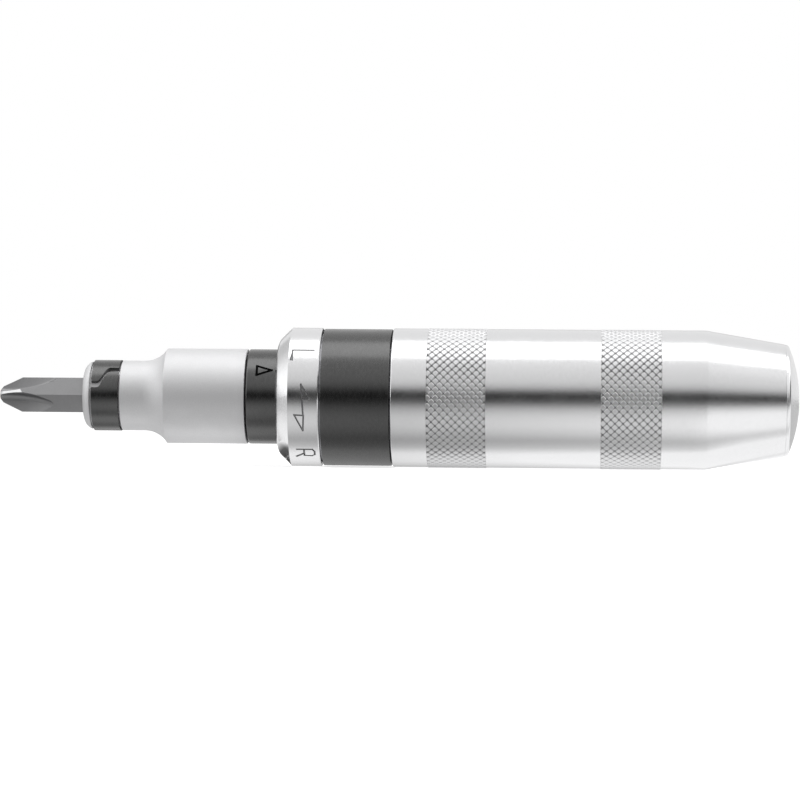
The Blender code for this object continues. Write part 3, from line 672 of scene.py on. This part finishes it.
class MESH_OT_impact_driver_spindle(bpy.types.Operator):
    """Model the spindle with its square drive, flange, pin hole and engraved pointer"""

    bl_idname = "mesh.impact_driver_spindle"
    bl_label = "Spindle"

    def execute(self, context):
        size = sizes()
        drive_front, rear = SPINDLE_BOX[0].x, SPINDLE_BOX[1].x
        shoulder = HOLDER_BOX[1].x + CLEARANCE
        radius = size.spindle_radius
        edge = 0.0004
        flange_front, flange_rear, flange_height = -0.0143, -0.0118, 0.00125
        outline = [
            (shoulder, 0.0),
            (shoulder, radius - edge),
            *arc((shoulder + edge, radius - edge), edge, 180, 90, 5)[1:],
            *run((shoulder + 2 * edge, radius), (flange_front, radius), 16),
            (flange_front, radius + flange_height),
            (flange_rear, radius + flange_height),
            (flange_rear, radius),
            (rear - edge, radius),
            (rear, radius - edge),
            (rear, 0.0),
        ]
        spindle = turn("spindle_finish", outline, closed=False)
        half = size.drive_flats / 2
        drive = block("drive", (drive_front, -half, -half), (shoulder + OVERRUN, half, half))
        soften(drive, 0.0010, 40, 3)
        shape_with(spindle, drive, "UNION")
        well_radius, well_length, well_middle = 0.0023, 0.0129, (drive_front + 0.008, 0, 0.00190)
        shape_with(spindle, rod("well", well_radius, well_middle, well_length, "Z"))
        pin_hole_radius, pin_hole_x, right_through = 0.0028, 0.0076, 0.030
        shape_with(spindle, rod("pin_hole", pin_hole_radius, (pin_hole_x, 0, 0), right_through, "Z"))
        left, tip = -0.0317, -0.0283
        corners = [(left, 39.6), (tip, 33.4), (left, 26.8)]
        strokes = list(zip(corners, corners[1:] + corners[:1]))
        coat(spindle, black_oxide())
        engrave(spindle, radius, strokes, size.pointer_stroke, stamped_black())
        finish_piece(spindle, "spindle", "spindle", 32)
        return {"FINISHED"}


class MESH_OT_impact_driver_ring(bpy.types.Operator):
    """Model the direction ring with its chamfer and its engraved letters and arrows"""

    bl_idname = "mesh.impact_driver_ring"
    bl_label = "Direction ring"

    def execute(self, context):
        size = sizes()
        front, rear = RING_BOX[0].x, RING_BOX[1].x
        radius = outer_radius(RING_BOX)
        bore = size.spindle_radius + CLEARANCE
        chamfer = size.ring_chamfer
        seal_front, step, lip = front + 0.0013, front + 0.0030, front - 0.0003
        wall, seal_depth, edge = 0.0010, 0.0014, 0.0002
        lip_curve = [(0, -0.0016), (0.00006, -0.0011), (0.00020, -0.0006), (0.00040, -0.0001),
                     (0.00062, 0.0003)]
        outline = [
            (lip, bore),
            *((lip + x, radius - chamfer + up) for x, up in lip_curve),
            *run((front + 0.0005, radius - chamfer + 0.0005), (front + chamfer, radius), 3),
            *run((front + chamfer, radius), (rear - edge, radius), 14)[1:],
            (rear, radius - edge),
            (rear, radius - wall),
            (step, radius - wall),
            (step, bore + seal_depth),
            (seal_front, bore + seal_depth),
            (seal_front, bore),
        ]
        ring = turn("direction_ring_finish", outline)
        letter_l = [((-0.0232, 41.8), (-0.0184, 41.8)), ((-0.0232, 40.4), (-0.0234, 31.8), 0.6, 1.9)]
        bow = [(-0.0222, -48.6), (-0.0187, -48.6), (-0.0182, -51.2), (-0.0182, -55.6), (-0.0189, -57.4),
               (-0.0203, -57.0)]
        letter_r = [
            *zip(bow, bow[1:]),
            ((-0.0206, -57.0), (-0.0206, -48.6)),
            ((-0.0206, -53.6), (-0.0224, -58.4), 1.2, 1.5),
        ]
        upper = [(-0.0210, 10.2), (-0.0191, -1.5), (-0.0207, -2.3)]
        lower = [(-0.0225, -15.0), (-0.0204, -15.4), (-0.0206, -28.7)]
        arrows = list(zip(upper, upper[1:] + upper[:1]))
        arrows += list(zip(lower, lower[1:] + lower[:1]))
        arrows.append(((-0.0207, -2.3), (-0.0205, -15.4)))
        coat(ring, ground_chrome())
        # The darker floors of the letters and arrows are painted shade in the engraved recesses.
        engrave(ring, radius, letter_l + letter_r, size.letter_stroke, stamped_chrome())
        engrave(ring, radius, arrows, size.arrow_stroke, stamped_arrow())
        finish_piece(ring, "handle", "direction_ring", 30)
        return {"FINISHED"}


class MESH_OT_impact_driver_collar(bpy.types.Operator):
    """Model the black collar between the ring and the handle"""

    bl_idname = "mesh.impact_driver_collar"
    bl_label = "Collar"

    def execute(self, context):
        front, rear = COLLAR_BOX[0].x + 0.00015, COLLAR_BOX[1].x
        outer = outer_radius(COLLAR_BOX)
        inner = outer_radius(RING_BOX) - 0.0010
        edge = sizes().edge_round
        outline = [
            (front, inner),
            *arc((front + edge / 3, outer - edge / 3), edge / 3, 180, 90, 4),
            *run((front + edge / 3, outer), (rear - edge, outer), 14)[1:-1],
            *arc((rear - edge, outer - edge), edge, 90, 0, 5),
            (rear, inner),
        ]
        collar = turn("collar_finish", outline)
        coat(collar, black_oxide())
        finish_piece(collar, "handle", "collar_ring", 40)
        return {"FINISHED"}


def knurled_band(name, front, rear, radius):
    """A band of rolled diamonds: a plain drum is cut crosswise into diamonds, each is drawn in on all
    sides so that grooves open between them, the grooves sink, deepest where they cross, and the
    diamonds rise to blunt points."""
    size = sizes()
    pitch = size.knurl_pitch
    rows = math.ceil((rear - front) / pitch) + 1
    start = (front + rear - rows * pitch) / 2
    deselect()
    bpy.ops.mesh.primitive_circle_add(
        vertices=size.knurl_count, radius=radius, location=(start, 0, AXIS_HEIGHT),
        rotation=(0, math.pi / 2, 0),
    )
    band = settled(name)
    edit(band)
    for _ in range(rows):
        bpy.ops.mesh.extrude_region_move(TRANSFORM_OT_translate={"value": (pitch, 0, 0)})
    bpy.ops.mesh.select_all(action="SELECT")
    bpy.ops.mesh.poke()
    leave_edit()

    def is_side(line):
        """True for an edge along or round the drum that isn't one of its ends. The diagonals run from a
        corner to a centre."""
        a, b = (band.data.vertices[v].co.x for v in line.vertices)
        if any(abs(a - x) < 1e-6 and abs(b - x) < 1e-6 for x in (start, start + rows * pitch)):
            return False
        return abs(a - b) > pitch * 0.75 or abs(a - b) < pitch * 0.25

    for line in band.data.edges:
        line.select = is_side(line)
    for corner in band.data.vertices:
        corner.select = False
        set_distance(corner, radius)
    for face in band.data.polygons:
        face.select = False
    tools = bpy.context.tool_settings
    corner_mode, edge_mode, face_mode = (True, False, False), (False, True, False), (False, False, True)
    tools.mesh_select_mode = edge_mode
    bpy.ops.object.mode_set(mode="EDIT")
    bpy.ops.mesh.dissolve_edges(use_verts=False)
    tools.mesh_select_mode = face_mode
    bpy.ops.mesh.select_all(action="SELECT")
    bpy.ops.mesh.normals_make_consistent(inside=False)
    bpy.ops.mesh.inset(thickness=size.knurl_groove, use_individual=True, use_boundary=True)
    leave_edit()
    on_crest = {v for face in band.data.polygons if face.select for v in face.vertices}
    low, high = radius - size.knurl_depth, radius - size.knurl_point - HAIR
    for corner in band.data.vertices:
        set_distance(corner, high if corner.index in on_crest else low)
    bpy.ops.object.mode_set(mode="EDIT")
    bpy.ops.mesh.poke(offset=size.knurl_point)
    tools.mesh_select_mode = edge_mode
    bpy.ops.mesh.select_all(action="DESELECT")
    leave_edit()
    crossings = len(band.data.vertices)
    for line in band.data.edges:
        line.select = all(
            math.hypot(c.y, c.z - AXIS_HEIGHT) < low + HAIR
            for c in (band.data.vertices[v].co for v in line.vertices)
        )
    bpy.ops.object.mode_set(mode="EDIT")
    bpy.ops.mesh.subdivide(number_cuts=1)
    leave_edit()
    for corner in band.data.vertices[crossings:]:
        set_distance(corner, radius - size.knurl_saddle)
    bpy.ops.object.mode_set(mode="EDIT")
    for place, outward in ((front, (-1, 0, 0)), (rear, (1, 0, 0))):
        bpy.ops.mesh.select_all(action="SELECT")
        bpy.ops.mesh.bisect(
            plane_co=(place, 0, AXIS_HEIGHT), plane_no=outward, clear_outer=True, threshold=0.000001
        )
    tools.mesh_select_mode = edge_mode
    bpy.ops.mesh.select_all(action="DESELECT")
    bpy.ops.mesh.select_non_manifold(
        extend=False, use_wire=False, use_boundary=True, use_multi_face=False, use_non_contiguous=False
    )
    bpy.ops.mesh.extrude_region_move()
    foot = radius - 0.0008
    scale = foot / low
    bpy.ops.transform.resize(value=(1, scale, scale), center_override=(front, 0, AXIS_HEIGHT))
    bpy.ops.mesh.bridge_edge_loops()
    bpy.ops.mesh.select_all(action="SELECT")
    bpy.ops.mesh.normals_make_consistent(inside=False)
    leave_edit()
    tools.mesh_select_mode = corner_mode
    return band


class MESH_OT_impact_driver_handle(bpy.types.Operator):
    """Model the struck handle with its bore, knurled bands, taper and domed face"""

    bl_idname = "mesh.impact_driver_handle"
    bl_label = "Handle"

    def execute(self, context):
        size = sizes()
        front, rear = HANDLE_BOX[0].x, HANDLE_BOX[1].x
        crest = outer_radius(HANDLE_BOX)
        radius = crest - 0.0001
        bore = radius - 0.0022
        bore_end = front + 0.0700
        bands = [(front + 0.0081, front + 0.0216), (front + 0.0478, front + 0.0616)]
        taper_start = rear - size.taper_length
        flat_radius = 0.0040
        dome_centre = rear - math.sqrt(size.dome_radius**2 - flat_radius**2)
        rim_distance = size.rim_radius - size.rim_round
        rim_x = dome_centre + math.sqrt((size.dome_radius - size.rim_round) ** 2 - rim_distance**2)
        taper_angle = math.degrees(math.atan2(radius - size.rim_radius, rim_x - taper_start))
        slant = Vector((math.cos(math.radians(taper_angle)), -math.sin(math.radians(taper_angle))))
        outward = Vector((-slant.y, slant.x))
        line = Vector((rim_x, rim_distance)) + size.rim_round * outward - 0.0001 * slant
        rim_end = math.degrees(math.atan2(rim_distance, rim_x - dome_centre))
        flat_angle = math.degrees(math.asin(flat_radius / size.dome_radius))
        edge = size.edge_round
        outline = [
            (bore_end, 0.0),
            (bore_end, bore),
            (front, bore),
            *arc((front + edge, radius - edge), edge, 180, 90, 5),
            (front + 1.6 * edge, radius),
        ]
        seat = radius - 0.0007
        for start, end in bands:
            outline += [(start, radius), (start, seat), (end, seat), (end, radius)]
        outline += [
            (taper_start - 0.0004, radius),
            (taper_start - 0.0001, radius),
            (taper_start + 0.0001, radius - 0.000017),
            (taper_start + 0.0004, radius - 0.000067),
            tuple(line - 0.00034 * slant),
            tuple(line - 0.00017 * slant - 0.00012 * outward),
            tuple(line),
            *arc((rim_x, rim_distance), size.rim_round, 90 - taper_angle, rim_end, 14),
            *arc((dome_centre, 0.0), size.dome_radius, rim_end, flat_angle, 20)[1:],
            (rear, 0.0),
        ]
        handle = turn("handle_finish", outline, closed=False)
        coat(handle, ground_chrome())
        gap = 2 * HAIR
        knurls = [
            knurled_band(f"knurl_{number}", start + gap, end - gap, crest)
            for number, (start, end) in enumerate(bands)
        ]
        pick(handle)
        for knurl in knurls:
            coat(knurl, knurled_chrome())
            knurl.select_set(True)
        bpy.ops.object.join()
        finish_piece(handle, "handle", "hammer_handle", 24)
        return {"FINISHED"}


class MESH_OT_impact_driver_inside(bpy.types.Operator):
    """Give the pieces inside the driver their surfaces"""

    bl_idname = "mesh.impact_driver_inside"
    bl_label = "Inner pieces"

    def execute(self, context):
        surfaces = [
            (spring_steel(), ("bit_ball", "drive_ball", "drive_ball_spring", "cross_pin",
                              "bush_circlip", "return_spring")),
            (hardened_steel(), ("cam_sleeve", "flange_washer", "thrust_washer", "rear_spring_seat")),
            (sintered_bronze(), ("front_bush", "rear_bush")),
            (nitrile_rubber(), ("spindle_seal",)),
        ]
        for surface, nodes in surfaces:
            for name in nodes:
                coat(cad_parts[name], surface)
        springs = [
            ("return_spring", "spring_seat", "strike_plunge", 0, 1),
            ("drive_ball_spring", "spindle", "drive_ball_press", 2, 0),
        ]
        for name, body, joint_name, axis, fixed_end in springs:
            coil = bpy.data.objects.new(f"{name}_coil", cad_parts[name].data.copy())
            context.scene.collection.objects.link(coil)
            edit(coil)
            bpy.ops.mesh.remove_doubles(threshold=1e-7)
            leave_edit()
            finish_piece(coil, body, name, 40)
            direction = Vector((0, 0, 0))
            direction[axis] = 1
            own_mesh(coil)
        return {"FINISHED"}


def hang_soft_box():
    """Hangs a soft square lamp over the tool. Its power follows from how bright its face is to look."""
    width, depth, radiance = 1.8, 0.34, 1.35
    data = bpy.data.lights.new("soft_box_above", "AREA")
    data.shape = "RECTANGLE"
    data.size = width
    data.size_y = depth
    data.energy = math.pi * width * depth * radiance
    soft_box = bpy.data.objects.new("soft_box_above", data)
    bpy.context.scene.collection.objects.link(soft_box)
    soft_box.location = (0, -0.02, 0.55)
    aim = Vector((0, 0, AXIS_HEIGHT))
    soft_box.rotation_euler = (aim - soft_box.location).to_track_quat("-Z", "Y").to_euler()


def by_distance(tree, axis, stops):
    """A brightness that changes along one of the object's axes. A stop is a distance and the brightness
    there."""
    low, high = stops[0][0], stops[-1][0]
    place = add_node(tree, "TexCoord").outputs["Object"]
    parts = add_node(tree, "SeparateXYZ", links={"Vector": place})
    share = add_node(tree, "MapRange", {"From Min": low, "From Max": high}, {"Value": parts.outputs[axis]})
    ramp = add_node(tree, "ValToRGB", links={"Fac": share})
    while len(ramp.color_ramp.elements) < len(stops):
        ramp.color_ramp.elements.new(0.5)
    for element, (distance, brightness) in zip(ramp.color_ramp.elements, stops):
        element.position = (distance - low) / (high - low)
        element.color = (brightness, brightness, brightness, 1)
    return ramp


UPRIGHT = (math.pi / 2, 0, 0)
SIDEWAYS = (math.pi / 2, 0, math.pi / 2)
LYING = (0, 0, 0)
# Each card has its middle, width, height and turn, and the brightness at stops along two axes, added up.
CARDS = {
    "front_card": (
        (0, -0.9, 0.8), 4.0, 1.6, UPRIGHT,
        "Z", [(0.0, 0.01), (0.06, 0.0), (0.13, 0.01), (0.20, 0.13), (0.27, 0.40), (0.36, 0.60),
              (0.50, 0.72), (0.88, 0.79), (1.6, 0.88)],
        "X", [(-1.2, 0.5), (-0.3, 0.0), (-0.05, 0.0), (0.03, 0.03), (0.5, 0.02), (1.2, 0.5)],
    ),
    "back_card": (
        (-0.905, 0.9, 0.8), 2.19, 1.6, UPRIGHT,
        "Z", [(0.0, 0.02), (0.08, 0.03), (0.16, 0.25), (0.24, 0.75), (0.32, 0.88), (1.6, 0.88)],
        "X", [(-2.0, 0.02), (0.19, 0.02)],
    ),
    "right_card": (
        (0.6, -0.11, 0.125), 0.38, 0.25, SIDEWAYS,
        "Z", [(0.0, 0.03), (0.25, 0.08)],
        "Y", [(-0.30, 0.0), (0.08, 0.0)],
    ),
    "right_floor_card": (
        (0.70, 0.62, 0.0004), 1.2, 1.24, LYING,
        "Y", [(0.0, 0.62), (1.24, 0.62)],
        "X", [(0.10, 0.0), (1.3, 0.0)],
    ),
    "left_card": (
        (-0.6, 0.4, 0.32), 2.0, 0.6, SIDEWAYS,
        "Z", [(0.02, 0.1), (0.62, 0.0)],
        "Y", [(-0.6, 1.4), (0.08, 1.3), (0.22, 0.85), (0.40, 0.60), (1.4, 0.55)],
    ),
    "shade_under_spindle": (
        (-0.0277, -0.002, 0.0025), 0.014, 0.0048, SIDEWAYS,
        "Z", [(0.0, 0.04), (0.0026, 0.08), (0.0049, 0.75)],
        "Y", [(-0.009, 0.5), (-0.007, 0.05), (0.005, 0.0)],
    ),
    "shade_under_ring": (
        (-0.0261, 0.004, 0.00005), 0.0030, 0.016, LYING,
        "Y", [(-0.004, 0.08), (0.012, 0.08)],
        "X", [(-0.0276, 0.0), (-0.0246, 0.0)],
    ),
}


def glowing_card(name, centre, width, height, turned, axis, stops, side_axis, side_stops):
    """A card that only reflections see. Its brightness changes along two of its axes."""
    deselect()
    bpy.ops.mesh.primitive_plane_add(size=1)
    bpy.context.object.rotation_euler = turned
    bpy.context.object.location = centre
    card = settled(name, (width, height, 1))
    surface, tree, shader = new_surface(name)
    tree.nodes.remove(shader)
    up = by_distance(tree, axis, stops)
    across = by_distance(tree, side_axis, side_stops)
    both = add_node(tree, "VectorMath", links={0: up, 1: across}, operation="ADD")
    glow = add_node(tree, "Emission", links={"Color": both})
    connect(tree, tree.nodes["Material Output"], {"Surface": glow})
    card.data.materials.append(surface)
    card.visible_camera = card.visible_diffuse = card.visible_shadow = False


# How bright the floor looks in the metals, by its distance before the axis. Behind it is the same.
FLOOR_BEFORE = [
    (-0.160, 0.08), (-0.095, 0.22), (-0.062, 0.42), (-0.044, 0.56), (-0.033, 0.66), (-0.024, 0.68),
    (-0.019, 0.58), (-0.0145, 0.40), (-0.0115, 0.53), (-0.0085, 0.95), (-0.0055, 0.93),
    (-0.0032, 0.72), (-0.001, 0.5),
]
# A factor on that along the tool, from bit to struck end, and the most that comes out.
FLOOR_ALONG = [
    (-0.095, 1.05), (-0.078, 1.1), (-0.068, 1.25), (-0.056, 1.25), (-0.050, 1.45), (-0.040, 1.45),
    (-0.031, 1.15), (0.0, 1.0), (0.0375, 1.25), (0.0675, 1.45), (0.082, 1.85), (0.090, 1.9),
]
FLOOR_LIMIT = (1.12, 1.12, 1.12)


def lay_floor():
    """Lays a matt white floor. The camera sees it lifted to white, and the metals see it as bright as
    its stops say."""
    deselect()
    bpy.ops.mesh.primitive_plane_add(size=8, location=(0, 0, 0))
    floor = bpy.context.object
    floor.name = "floor"
    surface, tree, shader = new_surface("painted_floor")
    shader.inputs["Base Color"].default_value = (*colours().floor, 1)
    shader.inputs["Roughness"].default_value = 1.0
    shader.inputs["Specular IOR Level"].default_value = 0.0
    path = add_node(tree, "LightPath")
    lift = add_node(tree, "Math", {1: 0.68}, {0: path.outputs["Is Camera Ray"]}, operation="MULTIPLY")
    shader.inputs["Emission Color"].default_value = (1, 1, 1, 1)
    connect(tree, shader, {"Emission Strength": lift})
    behind = [(-distance, glow) for distance, glow in reversed(FLOOR_BEFORE)]
    reflected = by_distance(tree, "Y", FLOOR_BEFORE + behind)
    factor = by_distance(tree, "X", FLOOR_ALONG)
    both = add_node(tree, "VectorMath", links={0: reflected, 1: factor}, operation="MULTIPLY")
    capped = add_node(tree, "VectorMath", {1: FLOOR_LIMIT}, {0: both}, operation="MINIMUM")
    glow = add_node(tree, "Emission", links={"Color": capped})
    choice = add_node(tree, "MixShader", links={0: path.outputs["Is Glossy Ray"], 1: shader, 2: glow})
    connect(tree, tree.nodes["Material Output"], {"Surface": choice})
    floor.data.materials.append(surface)


def light_surround():
    """A white world that lights the matt surfaces at half strength, and is a little dimmer in
    reflections than to the camera."""
    world = bpy.data.worlds.new("white_surround")
    bpy.context.scene.world = world
    world.use_nodes = True
    tree = world.node_tree
    back = tree.nodes["Background"]
    back.inputs["Color"].default_value = (1, 1, 1, 1)
    path = add_node(tree, "LightPath")
    camera_ray, clear_ray = path.outputs["Is Camera Ray"], path.outputs["Is Transmission Ray"]
    seen = add_node(tree, "Math", links={0: camera_ray, 1: clear_ray}, operation="MAXIMUM")
    reflected = add_node(tree, "Math", {1: 0.8}, {0: path.outputs["Is Glossy Ray"]}, operation="MULTIPLY")
    shown = add_node(tree, "Math", links={0: seen, 1: reflected}, operation="MAXIMUM")
    strength = add_node(tree, "MapRange", {"To Min": 0.5, "To Max": 1.0}, {"Value": shown})
    connect(tree, back, {"Strength": strength})


def place_camera():
    """Places the camera nearly square on to the tool, with a small turn and roll."""
    distance = 0.790
    yaw, roll = math.radians(3.15), math.radians(0.48)
    aim = Vector((0.00073, 0, AXIS_HEIGHT - 0.00054))
    data = bpy.data.cameras.new("camera")
    data.sensor_width = 36
    data.lens = 153.6
    data.clip_start = 0.01
    camera = bpy.data.objects.new("camera", data)
    bpy.context.scene.collection.objects.link(camera)
    camera.location = aim + distance * Vector((math.sin(yaw), -math.cos(yaw), 0))
    look = (aim - camera.location).to_track_quat("-Z", "Y").to_matrix().to_4x4()
    camera.rotation_euler = (look @ Matrix.Rotation(roll, 4, "Z")).to_euler()
    bpy.context.scene.camera = camera


class SCENE_OT_impact_driver_stage(bpy.types.Operator):
    """Set up the floor, the world, the lamp, the cards and the camera"""

    bl_idname = "scene.impact_driver_stage"
    bl_label = "Stage"

    def execute(self, context):
        context.scene.view_settings.view_transform = "Standard"
        lay_floor()
        light_surround()
        hang_soft_box()
        for name, card in CARDS.items():
            glowing_card(name, *card)
        place_camera()
        return {"FINISHED"}


class VIEW3D_PT_impact_driver(bpy.types.Panel):
    bl_label = "Hand Impact Driver"
    bl_idname = "VIEW3D_PT_impact_driver"
    bl_space_type = "VIEW_3D"
    bl_region_type = "UI"
    bl_category = "Impact Driver"

    def draw(self, context):
        layout = self.layout
        for operator in OPERATORS:
            layout.operator(operator.bl_idname)
        for group in (sizes(), colours()):
            box = layout.box()
            for name in group.bl_rna.properties.keys():
                if name not in ("rna_type", "name"):
                    box.prop(group, name)


OPERATORS = (
    SCENE_OT_impact_driver_stage,
    MESH_OT_impact_driver_bit,
    MESH_OT_impact_driver_holder,
    MESH_OT_impact_driver_band,
    MESH_OT_impact_driver_spindle,
    MESH_OT_impact_driver_ring,
    MESH_OT_impact_driver_collar,
    MESH_OT_impact_driver_handle,
    MESH_OT_impact_driver_inside,
)
CLASSES = (ImpactDriverSizes, ImpactDriverColours, *OPERATORS, VIEW3D_PT_impact_driver)


def register():
    for cls in CLASSES:
        bpy.utils.register_class(cls)
    bpy.types.Scene.impact_driver_sizes = PointerProperty(type=ImpactDriverSizes)
    bpy.types.Scene.impact_driver_colours = PointerProperty(type=ImpactDriverColours)


def unregister():
    del bpy.types.Scene.impact_driver_colours
    del bpy.types.Scene.impact_driver_sizes
    for cls in reversed(CLASSES):
        bpy.utils.unregister_class(cls)


def main():
    register()
    bpy.ops.scene.impact_driver_stage()
    bpy.ops.mesh.impact_driver_bit()
    bpy.ops.mesh.impact_driver_holder()
    bpy.ops.mesh.impact_driver_band()
    bpy.ops.mesh.impact_driver_spindle()
    bpy.ops.mesh.impact_driver_ring()
    bpy.ops.mesh.impact_driver_collar()
    bpy.ops.mesh.impact_driver_handle()
    bpy.ops.mesh.impact_driver_inside()


if __name__ == "__main__":
    main()
